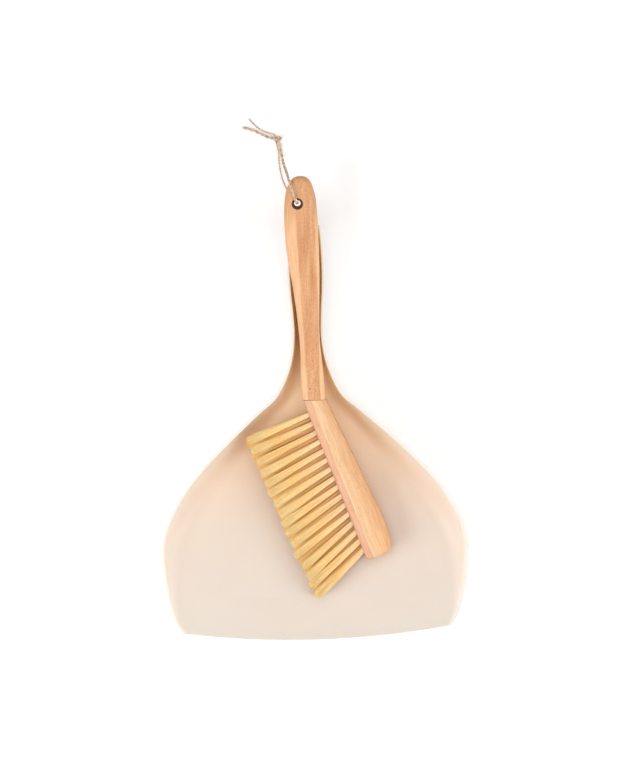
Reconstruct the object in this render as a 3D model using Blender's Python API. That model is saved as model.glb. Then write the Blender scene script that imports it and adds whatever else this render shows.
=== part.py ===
"""Dust pan with a hand brush nested in its trough handle, in metres, +Z up, lip of the pan towards -Y."""

import math

import bmesh
import bpy
from mathutils import Vector

# Fits
GAP = 0.0003
FIT_NECK = 0.0007

# Dust pan
PAN_WALL = 0.0020
LIP_WALL = 0.0010
LIP_TAPER = 0.014
PAN_WIDTH = 0.2428
LIP_WIDTH = 0.2144
LIP_Y = -0.1770
LIP_BULGE = 0.0081
LIP_BULGE_REACH = 0.075
RIM_NECK = 0.0282
FLOOR_END_Y = -0.015
RAMP_BLEND = 0.060
BOWL_END_Y = 0.0080

# Brush, in its own plane: X across, Y from the toe plane towards the tip, Z through the thickness
BRUSH_SLOPE = math.radians(5.5)
BRUSH_Y = -0.1170
BRUSH_Z = 0.0142
HANDLE_LENGTH = 0.1783
HEAD_LENGTH = 0.1250
HANDLE_NECK_X = 0.0095
HANDLE_HALF_THICK = 0.0077
HEAD_HALF_THICK = 0.0095
CHAMFER_RISE = 0.0032
HEAD_CHAMFER_BRISTLE = 0.0014
HEAD_CHAMFER_BACK = 0.0050
HEAD_CHAMFER_RISE = 0.0020

# Hanging hole
HOLE_X = -0.0049
HOLE_FROM_TIP = 0.0217
HOLE_RADIUS = 0.0027
COUNTERSINK_RADIUS = 0.0046
COUNTERSINK_DEPTH = 0.0019

# Joint dowels
DOWEL_RADIUS = 0.0020
DOWEL_X = (0.0032, 0.0088)
DOWEL_IN_HEAD = 0.0080
DOWEL_IN_HANDLE = 0.0140

# Bristle tufts
TUFTS_LONG_ROW = 16
TUFT_FIRST = 0.0124
TUFT_LAST = 0.1292
TUFT_ROOT_RADIUS = 0.0020
TUFT_ROW_PITCH = HEAD_HALF_THICK - HEAD_CHAMFER_RISE - TUFT_ROOT_RADIUS - GAP
TUFT_TIP_RADIUS = 0.0036
TUFT_TIP_HALF_THICK = 0.0023
TUFT_HOLE_DEPTH = 0.0095
TUFT_OUT = 0.0545
TUFT_SPLAY_FIRST = math.radians(2.0)
TUFT_SPLAY_LAST = math.radians(23.5)
TUFT_SIDES = 8

# Twine
TWINE_THICK = 0.0020
TWINE_THIN = 0.0010
KNOT_HALF = (0.0033, 0.0027, 0.0026)
KNOT_AT = (-0.0190, 0.2160, 0.0028)

# The pan's neck stands beside the narrowest place of the handle, and the trough runs on from there
NECK_SHARE = 0.6955
TROUGH_SHARE = 0.4719
NECK_Y = BRUSH_Y + (HEAD_LENGTH + (1 - NECK_SHARE) * HANDLE_LENGTH) * math.cos(BRUSH_SLOPE)
TROUGH_END_Y = NECK_Y + TROUGH_SHARE * HANDLE_LENGTH
TO_NECK = NECK_Y - BOWL_END_Y
PAST_NECK = TROUGH_END_Y - NECK_Y

HALF = PAN_WIDTH / 2
NECK_HALF = HANDLE_NECK_X + FIT_NECK + PAN_WALL


def trough_row(share, wider, flat, drop):
    """A row of the outline past the neck, with the rim this far below the middle plane of the brush."""
    y = NECK_Y + share * PAST_NECK
    rim = BRUSH_Z + (y - BRUSH_Y) * math.tan(BRUSH_SLOPE) - drop
    return (y, NECK_HALF + wider, flat, rim, 5.0)


# Pan outline: (y, half width, half width of the flat floor, height of the rim, steepness of the wall)
PAN_STATIONS = (
    (LIP_Y, LIP_WIDTH / 2, 0.945 * LIP_WIDTH / 2, 0.0014, 2.2),
    (-0.1650, 0.932 * HALF, 0.865 * HALF, 0.0030, 2.2),
    (-0.1500, 0.964 * HALF, 0.860 * HALF, 0.0052, 2.2),
    (-0.1300, 0.991 * HALF, 0.842 * HALF, 0.0084, 2.2),
    (-0.1130, 1.000 * HALF, 0.806 * HALF, 0.0112, 2.2),
    (-0.0980, 0.984 * HALF, 0.760 * HALF, 0.0136, 2.3),
    (-0.0820, 0.930 * HALF, 0.694 * HALF, 0.0162, 2.3),
    (-0.0660, 0.853 * HALF, 0.606 * HALF, 0.0187, 2.3),
    (-0.0500, 0.748 * HALF, 0.504 * HALF, 0.0211, 2.4),
    (-0.0340, 0.621 * HALF, 0.402 * HALF, 0.0233, 2.7),
    (-0.0180, 0.483 * HALF, 0.292 * HALF, 0.0251, 3.0),
    (-0.0020, 0.337 * HALF, 0.170 * HALF, 0.0263, 3.2),
    (BOWL_END_Y, 0.241 * HALF, 0.100 * HALF, 0.0269, 3.3),
    (BOWL_END_Y + 0.150 * TO_NECK, NECK_HALF + 0.0116, 0.0075, 0.0273, 3.4),
    (BOWL_END_Y + 0.337 * TO_NECK, NECK_HALF + 0.0068, 0.0050, 0.0277, 3.8),
    (BOWL_END_Y + 0.561 * TO_NECK, NECK_HALF + 0.0028, 0.0030, 0.0280, 4.3),
    (BOWL_END_Y + 0.785 * TO_NECK, NECK_HALF + 0.0007, 0.0020, RIM_NECK, 4.8),
    (NECK_Y, NECK_HALF, 0.0020, RIM_NECK, 5.0),
    trough_row(0.196, 0.0007, 0.0020, 0.0048),
    trough_row(0.398, 0.0019, 0.0025, 0.0063),
    trough_row(0.600, 0.0023, 0.0030, 0.0074),
    trough_row(0.815, 0.0018, 0.0030, 0.0080),
    trough_row(0.957, 0.0009, 0.0030, 0.0085),
    trough_row(1.000, 0.0005, 0.0030, 0.0094),
)
PAN_ROWS = 38
WALL_SHARES = (0.0, 0.30, 0.52, 0.68, 0.80, 0.89, 0.96, 1.0)
FLOOR_SHARES = (0.0, 0.5)

# Handle outline in the brush plane: (share of the length from the tip, left edge, right edge,
# half thickness, chamfer underneath, top left chamfer, top right chamfer)
HANDLE_STATIONS = (
    (0.0000, -0.0043, 0.0001, 0.0024, 0.0010, 0.0010, 0.0010),
    (0.0034, -0.0062, 0.0019, 0.0038, 0.0018, 0.0018, 0.0018),
    (0.0123, -0.0085, 0.0042, 0.0052, 0.0028, 0.0029, 0.0028),
    (0.0337, -0.0113, 0.0067, 0.0065, 0.0036, 0.0038, 0.0035),
    (0.0617, -0.0134, 0.0083, 0.0072, 0.0042, 0.0046, 0.0040),
    (0.0953, -0.0147, 0.0096, 0.0076, 0.0046, 0.0052, 0.0043),
    (0.1402, -0.0155, 0.0104, HANDLE_HALF_THICK, 0.0048, 0.0058, 0.0042),
    (0.1963, -0.0158, 0.0108, HANDLE_HALF_THICK, 0.0049, 0.0063, 0.0039),
    (0.2804, -0.0154, 0.0110, HANDLE_HALF_THICK, 0.0049, 0.0066, 0.0034),
    (0.3814, -0.0137, 0.0111, HANDLE_HALF_THICK, 0.0046, 0.0064, 0.0028),
    (0.4823, -0.0109, 0.0107, 0.0078, 0.0040, 0.0057, 0.0024),
    (0.5609, -0.0092, 0.0102, 0.0079, 0.0036, 0.0050, 0.0022),
    (0.6282, -0.0079, 0.0098, 0.0080, 0.0033, 0.0044, 0.0021),
    (NECK_SHARE, -0.0070, HANDLE_NECK_X, 0.0082, 0.0031, 0.0040, 0.0020),
    (0.7572, -0.0064, 0.0098, 0.0085, 0.0031, 0.0039, 0.0020),
    (0.8188, -0.0063, 0.0106, 0.0088, 0.0031, 0.0041, 0.0021),
    (0.8749, -0.0065, 0.0114, 0.0091, 0.0032, 0.0044, 0.0022),
    (0.9422, -0.0063, 0.0121, 0.0094, 0.0033, 0.0046, 0.0023),
    (1.0000, -0.0057, 0.0125, HEAD_HALF_THICK, 0.0034, 0.0047, 0.0024),
)

# Head outline in the brush plane, from the joint: bristle edge, toe, back edge
HEAD_TOP_LEFT = (-0.0053, HEAD_LENGTH - GAP)
HEAD_TOE_LEFT = (0.0414, -0.0038)
HEAD_OUTLINE = (
    HEAD_TOP_LEFT,
    HEAD_TOE_LEFT,
    (0.0449, -0.0044),
    (0.0552, -0.0004),
    (0.0597, 0.0016),
    (0.0616, 0.0042),
    (0.0619, 0.0085),
    (0.0572, 0.0250),
    (0.0530, 0.0358),
    (0.0129, HEAD_LENGTH - GAP),
)
# How far the flat faces of the head stay in from each corner of the outline
HEAD_INSETS = (
    HEAD_CHAMFER_BRISTLE,
    HEAD_CHAMFER_BRISTLE,
    HEAD_CHAMFER_BRISTLE,
    0.0018,
    0.0026,
    0.0034,
    0.0044,
    HEAD_CHAMFER_BACK,
    HEAD_CHAMFER_BACK,
    HEAD_CHAMFER_BACK,
)


def material(name, color, roughness):
    mat = bpy.data.materials.new(name)
    mat.use_nodes = True
    shader = mat.node_tree.nodes["Principled BSDF"]
    shader.inputs["Base Color"].default_value = (*color, 1.0)
    shader.inputs["Roughness"].default_value = roughness
    return mat


def link(name, data, mat, smooth=None):
    """A new object that holds this data, shaded smooth below an angle in degrees."""
    data.materials.append(mat)
    obj = bpy.data.objects.new(name, data)
    bpy.context.scene.collection.objects.link(obj)
    if smooth:
        data.shade_smooth()
        data.set_sharp_from_angle(angle=math.radians(smooth))
    return obj


def mesh(name, points, faces):
    """A closed mesh whose faces point outwards."""
    data = bpy.data.meshes.new(name)
    data.from_pydata([tuple(p) for p in points], [], faces)
    shell = bmesh.new()
    shell.from_mesh(data)
    bmesh.ops.recalc_face_normals(shell, faces=shell.faces)
    shell.to_mesh(data)
    shell.free()
    return data


def in_brush(obj):
    """Puts a piece drawn in the brush plane where the brush rests in the pan."""
    obj.location = (0.0, BRUSH_Y, BRUSH_Z)
    obj.rotation_euler = (BRUSH_SLOPE, 0.0, 0.0)
    return obj


def hermite(table, at):
    """The other columns of the table at this value of its first, on a smooth curve through its rows."""
    keys = [row[0] for row in table]
    at = min(max(at, keys[0]), keys[-1])
    i = max(k for k in range(len(keys) - 1) if keys[k] <= at)
    step = keys[i + 1] - keys[i]
    t = (at - keys[i]) / step
    values = []
    for column in range(1, len(table[0])):
        y0 = table[i][column]
        y1 = table[i + 1][column]
        m0 = tangent(keys, table, i, column)
        m1 = tangent(keys, table, i + 1, column)
        a = (1 + 2 * t) * (1 - t) ** 2 * y0 + t * (1 - t) ** 2 * step * m0
        b = t * t * (3 - 2 * t) * y1 - t * t * (1 - t) * step * m1
        values.append(a + b)
    return values


def tangent(keys, table, i, column):
    """The slope at a row, level wherever the column turns round, so that the curve never overshoots."""
    if i in (0, len(keys) - 1):
        j = 0 if i == 0 else i - 1
        return (table[j + 1][column] - table[j][column]) / (keys[j + 1] - keys[j])
    before = (table[i][column] - table[i - 1][column]) / (keys[i] - keys[i - 1])
    after = (table[i + 1][column] - table[i][column]) / (keys[i + 1] - keys[i])
    if before * after <= 0:
        return 0.0
    return 2 * before * after / (before + after)


def smooth_step(t):
    t = min(max(t, 0.0), 1.0)
    return t * t * (3 - 2 * t)


def wall_at(y):
    return LIP_WALL + (PAN_WALL - LIP_WALL) * smooth_step((y - LIP_Y) / LIP_TAPER)


def floor_at(y):
    """Height of the inside of the floor on the centre line: level, then a ramp up into the trough."""
    slope = math.tan(BRUSH_SLOPE)
    run = max(0.0, y - FLOOR_END_Y)
    if run < RAMP_BLEND:
        return wall_at(y) + slope * run * run / (2 * RAMP_BLEND)
    return wall_at(y) + slope * (run - RAMP_BLEND / 2)


def inner_half(y, half, flat, rim, power):
    """Right half of the inside of one cross-section, from the centre line to the rim, as (x, z)."""
    floor = floor_at(y)
    points = [(share * flat, floor) for share in FLOOR_SHARES]
    for share in WALL_SHARES:
        points.append((flat + (half - flat) * share, floor + (rim - floor) * share**power))
    return points


def offset_half(points, wall):
    """The outside of a half section, one wall thickness away."""
    outside = []
    for i, (x, z) in enumerate(points):
        before = points[i - 1] if i else (-points[1][0], points[1][1])
        after = points[min(i + 1, len(points) - 1)]
        along = Vector((after[0] - before[0], after[1] - before[1])).normalized()
        outside.append((x + along.y * wall, z - along.x * wall))
    outside[0] = (0.0, points[0][1] - wall)
    return outside


def pan_section(y):
    """Ring of (x, z) around one cross-section of the pan: inside left to right, then outside right to left."""
    half, flat, rim, power = hermite(PAN_STATIONS, y)
    wall = wall_at(y)
    inner = inner_half(y, half - wall, flat, rim, power)
    for _ in range(2):
        reach = max(x for x, z in offset_half(inner, wall))
        inner = inner_half(y, inner[-1][0] + half - reach, flat, rim, power)
    outer = offset_half(inner, wall)
    along = Vector(inner[-1]) - Vector(inner[-2])
    crown = []
    for share in (0.25, 0.75):
        point = Vector(inner[-1]).lerp(Vector(outer[-1]), share)
        crown.append(tuple(point + along.normalized() * wall * 0.42))
    right = inner + crown + outer[::-1]
    left = [(-x, z) for x, z in right]
    count = len(inner)
    ring = left[1:count][::-1] + right + left[count:-1][::-1]
    return ring, count


def pan_rows():
    """Places of the cross-sections along Y, closer together where the outline turns."""
    rows = []
    for i in range(PAN_ROWS):
        share = i / (PAN_ROWS - 1)
        rows.append(LIP_Y + (TROUGH_END_Y - LIP_Y) * (share + 0.045 * math.sin(2 * math.pi * share)))
    return rows


def make_pan():
    points = []
    faces = []
    rows = pan_rows()
    for y in rows:
        ring, count = pan_section(y)
        half = max(x for x, z in ring)
        bulge = LIP_BULGE * (1 - smooth_step((y - LIP_Y) / LIP_BULGE_REACH))
        points += [(x, y - bulge * (1 - (x / half) ** 2), z) for x, z in ring]
    size = len(ring)
    for row in range(len(rows) - 1):
        for i in range(size):
            j = (i + 1) % size
            faces.append((row * size + i, row * size + j, (row + 1) * size + j, (row + 1) * size + i))
    inside = 2 * count - 1
    opposite = [inside + 2 + (inside - 1 - i) for i in range(inside)]
    for base, flip in ((0, False), ((len(rows) - 1) * size, True)):
        for i in range(inside - 1):
            face = (base + i, base + opposite[i], base + opposite[i + 1], base + i + 1)
            faces.append(face[::-1] if flip else face)
        right = tuple(base + k for k in range(inside - 1, inside + 3))
        left = (base, base + size - 1, base + size - 2, base + opposite[0])
        faces.append(right[::-1] if not flip else right)
        faces.append(left if not flip else left[::-1])
    data = mesh("dustpan", points, faces)
    link("dustpan", data, material("pan_cream_plastic", (0.86, 0.78, 0.67), 0.45), 50)


def chamfer_corner(x, thick, chamfer, rise, side):
    """The chamfered corner of the handle's outline at an edge, from its side up to its face, as (x, z)."""
    return [
        (x, thick - rise),
        (x - side * 0.15 * chamfer, thick - rise * 0.55),
        (x - side * 0.62 * chamfer, thick - rise * 0.20),
        (x - side * chamfer, thick),
    ]


def handle_section(left, right, thick, under, top_left, top_right):
    """Closed chamfered outline across the handle, as (x, z)."""
    rise = min(CHAMFER_RISE, 0.62 * thick)
    top = chamfer_corner(right, thick, top_right, min(rise, 1.15 * top_right), 1)
    top += chamfer_corner(left, thick, top_left, rise, -1)[::-1]
    below = chamfer_corner(left, thick, under, rise, -1)
    below += chamfer_corner(right, thick, under, rise, 1)[::-1]
    return top + [(x, -z) for x, z in below]


def make_handle(mat):
    points = []
    faces = []
    tip = HEAD_LENGTH + HANDLE_LENGTH
    for share, *sizes in HANDLE_STATIONS:
        points += [(x, tip - share * HANDLE_LENGTH, z) for x, z in handle_section(*sizes)]
    size = len(points) // len(HANDLE_STATIONS)
    for row in range(len(HANDLE_STATIONS) - 1):
        for i in range(size):
            j = (i + 1) % size
            faces.append((row * size + i, row * size + j, (row + 1) * size + j, (row + 1) * size + i))
    last = (len(HANDLE_STATIONS) - 1) * size
    faces.append(tuple(range(size))[::-1])
    faces.append(tuple(range(last, last + size)))
    handle = in_brush(link("brush_handle", mesh("brush_handle", points, faces), mat, 40))
    cut(handle, hole_cutter(tip - HOLE_FROM_TIP))
    for i, x in enumerate(DOWEL_X):
        ends = (HEAD_LENGTH - 0.002, HEAD_LENGTH + DOWEL_IN_HANDLE)
        cut(handle, cylinder(f"cut_handle_bore_{i}", DOWEL_RADIUS + GAP, x, *ends))


def cut(obj, cutter):
    cutter.hide_render = True
    cutter.display_type = "WIRE"
    modifier = obj.modifiers.new("cut_" + cutter.name, "BOOLEAN")
    modifier.operation = "DIFFERENCE"
    modifier.solver = "EXACT"
    modifier.object = cutter


def lathe(name, profile, sides):
    """A closed body turned about Z from a profile of (radius, z), lowest first."""
    points = []
    faces = []
    for radius, z in profile:
        for i in range(sides):
            angle = 2 * math.pi * (i + 0.5) / sides
            points.append((radius * math.cos(angle), radius * math.sin(angle), z))
    for row in range(len(profile) - 1):
        for i in range(sides):
            j = (i + 1) % sides
            faces.append((row * sides + i, row * sides + j, (row + 1) * sides + j, (row + 1) * sides + i))
    last = (len(profile) - 1) * sides
    faces.append(tuple(range(sides))[::-1])
    faces.append(tuple(range(last, last + sides)))
    return mesh(name, points, faces)


def hole_cutter(y):
    top = HANDLE_HALF_THICK
    reach = top + 0.004
    wide = COUNTERSINK_RADIUS + (reach - top)
    neck = top - COUNTERSINK_DEPTH
    profile = ((wide, -reach), (HOLE_RADIUS, -neck), (HOLE_RADIUS, neck), (wide, reach))
    data = lathe("cut_hanging_hole", profile, 24)
    for vertex in data.vertices:
        vertex.co += Vector((HOLE_X, y, 0.0))
    return in_brush(link("cut_hanging_hole", data, bpy.data.materials["wood_cutter"]))


def cylinder(name, radius, x, y0, y1, sides=12):
    """A round bar along Y in the brush plane."""
    data = lathe(name, ((radius, 0.0), (radius, y1 - y0)), sides)
    for vertex in data.vertices:
        across, up, along = vertex.co
        vertex.co = (x - across, y0 + along, up)
    return in_brush(link(name, data, bpy.data.materials["wood_cutter"]))


def make_dowels(mat):
    for name, x in zip(("joint_dowel_left", "joint_dowel_right"), DOWEL_X):
        y0 = HEAD_LENGTH - GAP - DOWEL_IN_HEAD + 2 * GAP
        y1 = HEAD_LENGTH + DOWEL_IN_HANDLE - GAP
        dowel = cylinder(name, DOWEL_RADIUS, x, y0, y1)
        dowel.data.materials[0] = mat


def inset_outline(outline, insets):
    """The outline with each corner moved inwards by its own distance. Its two ends stay on the joint plane."""
    moved = []
    for i, inset in enumerate(insets):
        corner = Vector(outline[i])
        first = (corner - Vector(outline[i - 1])).normalized()
        second = (Vector(outline[(i + 1) % len(outline)]) - corner).normalized()
        turn = abs(first.x * second.y - first.y * second.x)
        if i == 0:
            moved.append(corner - first * inset / turn)
        elif i == len(insets) - 1:
            moved.append(corner + second * inset / turn)
        else:
            inward = Vector((-first.y - second.y, first.x + second.x)).normalized()
            moved.append(corner + inward * inset / inward.dot(Vector((-first.y, first.x))))
    return moved


def make_head(mat):
    outline = [Vector(p) for p in HEAD_OUTLINE]
    edges = len(outline)
    small = inset_outline(outline, HEAD_INSETS)
    levels = (
        (small, -HEAD_HALF_THICK),
        (outline, -HEAD_HALF_THICK + HEAD_CHAMFER_RISE),
        (outline, HEAD_HALF_THICK - HEAD_CHAMFER_RISE),
        (small, HEAD_HALF_THICK),
    )
    points = [(p.x, p.y, z) for loop, z in levels for p in loop]
    faces = [tuple(range(edges))[::-1], tuple(range(3 * edges, 4 * edges))]
    for row in range(3):
        for i in range(edges):
            j = (i + 1) % edges
            faces.append((row * edges + i, row * edges + j, (row + 1) * edges + j, (row + 1) * edges + i))
    head = in_brush(link("brush_head", mesh("brush_head", points, faces), mat, 20))
    for i, x in enumerate(DOWEL_X):
        ends = (HEAD_LENGTH - GAP - DOWEL_IN_HEAD, HEAD_LENGTH + 0.002)
        cut(head, cylinder(f"cut_head_bore_{i}", DOWEL_RADIUS + GAP, x, *ends))
    cut(head, tuft_holes())


def tuft_places():
    """(name, root on the bristle face, direction) of every tuft; the middle row stands between the others."""
    top = Vector(HEAD_TOP_LEFT)
    along = (Vector(HEAD_TOE_LEFT) - top).normalized()
    out = Vector((along.y, -along.x))
    pitch = (TUFT_LAST - TUFT_FIRST) / (TUFTS_LONG_ROW - 1)
    places = []
    for row, level in enumerate((TUFT_ROW_PITCH, 0.0, -TUFT_ROW_PITCH)):
        count = TUFTS_LONG_ROW - (row == 1)
        for i in range(count):
            distance = TUFT_FIRST + pitch * (i + 0.5 * (row == 1))
            share = (distance - TUFT_FIRST) / (TUFT_LAST - TUFT_FIRST)
            angle = TUFT_SPLAY_FIRST + (TUFT_SPLAY_LAST - TUFT_SPLAY_FIRST) * share
            turn = out * math.cos(angle) + along * math.sin(angle)
            root = top + along * distance
            name = f"tuft_{'abc'[row]}{i + 1:02d}"
            places.append((name, Vector((*root, level)), Vector((*turn, 0.0))))
    return places


def ring_points(centre, across, radius_across, radius_up, sides):
    points = []
    for i in range(sides):
        angle = 2 * math.pi * (i + 0.5) / sides
        side = across * (radius_across * math.cos(angle))
        points.append(centre + side + Vector((0.0, 0.0, radius_up * math.sin(angle))))
    return points


def bar(rings):
    """Points and faces of a closed bar through these rings."""
    size = len(rings[0])
    points = [p for ring in rings for p in ring]
    faces = [tuple(range(size)), tuple(range(len(points) - size, len(points)))[::-1]]
    for row in range(len(rings) - 1):
        for i in range(size):
            j = (i + 1) % size
            faces.append((row * size + i, (row + 1) * size + i, (row + 1) * size + j, row * size + j))
    return points, faces


def tuft_holes():
    """Every blind tuft hole as one cutter."""
    points = []
    faces = []
    for _, root, direction in tuft_places():
        across = Vector((-direction.y, direction.x, 0.0))
        radius = TUFT_ROOT_RADIUS + GAP
        ends = (root - direction * TUFT_HOLE_DEPTH, root + direction * 0.004)
        more, sides = bar([ring_points(end, across, radius, radius, TUFT_SIDES) for end in ends])
        faces += [tuple(len(points) + i for i in face) for face in sides]
        points += more
    data = mesh("cut_tuft_holes", points, faces)
    return in_brush(link("cut_tuft_holes", data, bpy.data.materials["wood_cutter"]))


def make_tufts(mat):
    for name, root, direction in tuft_places():
        across = Vector((-direction.y, direction.x, 0.0))
        base = TUFT_ROOT_RADIUS
        rings = (
            ring_points(root - direction * (TUFT_HOLE_DEPTH - GAP), across, base, base, TUFT_SIDES),
            ring_points(root + direction * 0.002, across, base, base, TUFT_SIDES),
            ring_points(root + direction * TUFT_OUT, across, TUFT_TIP_RADIUS, TUFT_TIP_HALF_THICK, TUFT_SIDES),
        )
        in_brush(link(name, mesh(name, *bar(rings)), mat, 50))


def curve_points(route, step):
    """Points about this far apart on a smooth curve through the route."""
    route = [Vector(p) for p in route]
    ends = [route[0] * 2 - route[1]] + route + [route[-1] * 2 - route[-2]]
    fine = []
    for i in range(1, len(ends) - 2):
        a, b, c, d = ends[i - 1 : i + 3]
        for k in range(24):
            t = k / 24
            square = (2 * a - 5 * b + 4 * c - d) * t**2
            cube = (3 * b - a - 3 * c + d) * t**3
            fine.append(0.5 * (2 * b + (c - a) * t + square + cube))
    fine.append(route[-1])
    lengths = [0.0]
    for a, b in zip(fine, fine[1:]):
        lengths.append(lengths[-1] + (b - a).length)
    count = max(2, round(lengths[-1] / step))
    points = []
    k = 0
    for i in range(count + 1):
        target = lengths[-1] * i / count
        while k < len(fine) - 2 and lengths[k + 1] < target:
            k += 1
        share = (target - lengths[k]) / (lengths[k + 1] - lengths[k])
        points.append(fine[k].lerp(fine[k + 1], min(max(share, 0.0), 1.0)))
    return points


def cord(name, route, diameter, mat):
    points = curve_points(route, 2.2 * diameter)
    data = bpy.data.curves.new(name, "CURVE")
    data.dimensions = "3D"
    data.bevel_depth = diameter / 2
    data.bevel_resolution = 2
    data.use_fill_caps = True
    spline = data.splines.new("POLY")
    spline.points.add(len(points) - 1)
    for target, point in zip(spline.points, points):
        target.co = (*point, 1.0)
    data.materials.append(mat)
    obj = bpy.data.objects.new(name, data)
    bpy.context.scene.collection.objects.link(obj)


def brush_point(x, y, z):
    """Where a point of the brush plane lies in the world."""
    slope = BRUSH_SLOPE
    return (
        x,
        BRUSH_Y + y * math.cos(slope) - z * math.sin(slope),
        BRUSH_Z + y * math.sin(slope) + z * math.cos(slope),
    )


def make_twine(mat):
    hole = HEAD_LENGTH + HANDLE_LENGTH - HOLE_FROM_TIP
    face = HANDLE_HALF_THICK
    thick = TWINE_THICK / 2
    thin = TWINE_THIN / 2
    over = face + thick + GAP
    front = (
        brush_point(HOLE_X - 0.0004, hole + 0.0005, 0.0016),
        brush_point(HOLE_X - 0.0005, hole + 0.0010, 0.0056),
        brush_point(HOLE_X - 0.0013, hole + 0.0034, over),
        brush_point(HOLE_X - 0.0028, hole + 0.0080, over + 0.0005),
        brush_point(HOLE_X - 0.0050, hole + 0.0145, over - 0.0004),
        (-0.0111, 0.1819, 0.0478),
        (-0.0119, 0.1853, 0.0405),
        (-0.0127, 0.1880, 0.0310),
        (-0.0135, 0.1908, 0.0205),
        (-0.0144, 0.1942, 0.0108),
        (-0.0155, 0.1986, 0.0040),
        (-0.0165, 0.2040, 0.0013),
        (-0.0173, 0.2090, 0.0014),
        (-0.0180, 0.2124, 0.0024),
    )
    back = (
        brush_point(HOLE_X + 0.0004, hole - 0.0004, -0.0010),
        brush_point(HOLE_X + 0.0003, hole + 0.0000, -0.0060),
        brush_point(HOLE_X - 0.0001, hole + 0.0006, -0.0105),
        (-0.0062, 0.1662, 0.0235),
        (-0.0077, 0.1682, 0.0155),
        (-0.0095, 0.1706, 0.0082),
        (-0.0115, 0.1735, 0.0030),
        (-0.0137, 0.1772, 0.0008),
        (-0.0158, 0.1822, thin + 0.0001),
        (-0.0174, 0.1885, thin + 0.0001),
        (-0.0184, 0.1960, thin + 0.0001),
        (-0.0189, 0.2050, thin + 0.0002),
        (-0.0196, 0.2104, 0.0011),
        (-0.0200, 0.2122, 0.0016),
    )
    long_tail = (
        (-0.0228, 0.2167, 0.0018),
        (-0.0256, 0.2172, thick + 0.0003),
        (-0.0381, 0.2234, thick + 0.0001),
        (-0.0468, 0.2263, thick + 0.0001),
    )
    short_tail = (
        (-0.0213, 0.2190, 0.0020),
        (-0.0250, 0.2206, thin + 0.0004),
        (-0.0335, 0.2246, thin + 0.0001),
        (-0.0420, 0.2330, thin + 0.0001),
    )
    cord("twine_front", front, TWINE_THICK, mat)
    cord("twine_back", back, TWINE_THIN, mat)
    cord("twine_tail_long", long_tail, TWINE_THICK, mat)
    cord("twine_tail_short", short_tail, TWINE_THIN, mat)
    make_knot(mat)


def make_knot(mat):
    """The knot as one rounded lump."""
    profile = []
    rows = 8
    for i in range(rows + 1):
        angle = -math.pi / 2 + math.pi * (i + 0.25 * (i == 0) - 0.25 * (i == rows)) / rows
        profile.append((math.cos(angle), math.sin(angle)))
    data = lathe("twine_knot", profile, 14)
    for vertex in data.vertices:
        vertex.co = Vector(KNOT_AT) + Vector([a * b for a, b in zip(vertex.co, KNOT_HALF)])
    link("twine_knot", data, mat, 60)


def main():
    for obj in list(bpy.data.objects):
        bpy.data.objects.remove(obj)
    material("wood_cutter", (0.5, 0.5, 0.5), 0.5)
    make_pan()
    make_handle(material("handle_wood", (0.80, 0.47, 0.25), 0.5))
    make_head(material("head_wood", (0.85, 0.53, 0.30), 0.5))
    make_dowels(material("dowel_wood", (0.72, 0.46, 0.26), 0.6))
    make_tufts(material("bristle_straw", (0.90, 0.64, 0.28), 0.6))
    make_twine(material("twine_jute", (0.55, 0.40, 0.27), 0.9))


main()
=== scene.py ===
"""Looks of a dust pan with a hand brush in its trough: cream plastic, wood, straw bristles and twine.

Lengths are in metres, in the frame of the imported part: +Z up, the lip of the pan towards -Y.
"""

import math
import random

import bmesh
import bpy
from mathutils import Matrix, Vector, noise

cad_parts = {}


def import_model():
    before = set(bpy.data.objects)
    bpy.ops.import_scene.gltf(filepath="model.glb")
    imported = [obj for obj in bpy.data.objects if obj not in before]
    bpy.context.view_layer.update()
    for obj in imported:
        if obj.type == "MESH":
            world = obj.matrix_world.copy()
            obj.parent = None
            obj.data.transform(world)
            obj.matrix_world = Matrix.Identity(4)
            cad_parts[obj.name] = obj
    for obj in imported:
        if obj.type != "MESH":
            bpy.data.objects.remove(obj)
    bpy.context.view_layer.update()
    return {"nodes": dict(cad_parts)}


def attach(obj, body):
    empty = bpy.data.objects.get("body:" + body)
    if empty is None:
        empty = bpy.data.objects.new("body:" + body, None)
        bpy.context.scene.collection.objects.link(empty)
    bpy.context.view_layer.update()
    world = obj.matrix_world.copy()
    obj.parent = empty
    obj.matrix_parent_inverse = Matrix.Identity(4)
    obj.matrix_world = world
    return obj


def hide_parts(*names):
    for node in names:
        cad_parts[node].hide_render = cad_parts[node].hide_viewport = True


GAP = 0.0003

# Where the brush lies: its own plane has X across, Y from the toe towards the tip, Z through the thickness
BRUSH_SLOPE = math.radians(5.5)
BRUSH_PLACE = Vector((0.0, -0.1170, 0.0142))
HEAD_LENGTH = 0.1250
HANDLE_LENGTH = 0.1783
HANDLE_TIP = HEAD_LENGTH + HANDLE_LENGTH
HANDLE_HALF_THICK = 0.0077
HOLE = Vector((-0.0049, HANDLE_TIP - 0.0217))
HOLE_RADIUS = 0.0027
COUNTERSINK_RADIUS = 0.0046
COUNTERSINK_DEPTH = 0.0019
CHAMFER_RISE = 0.0032
HEAD_HALF_THICK = 0.0095
HEAD_CHAMFER_RISE = 0.0020
NECK_SHARE = 0.6955
HANDLE_NECK_X = 0.0095

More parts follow.
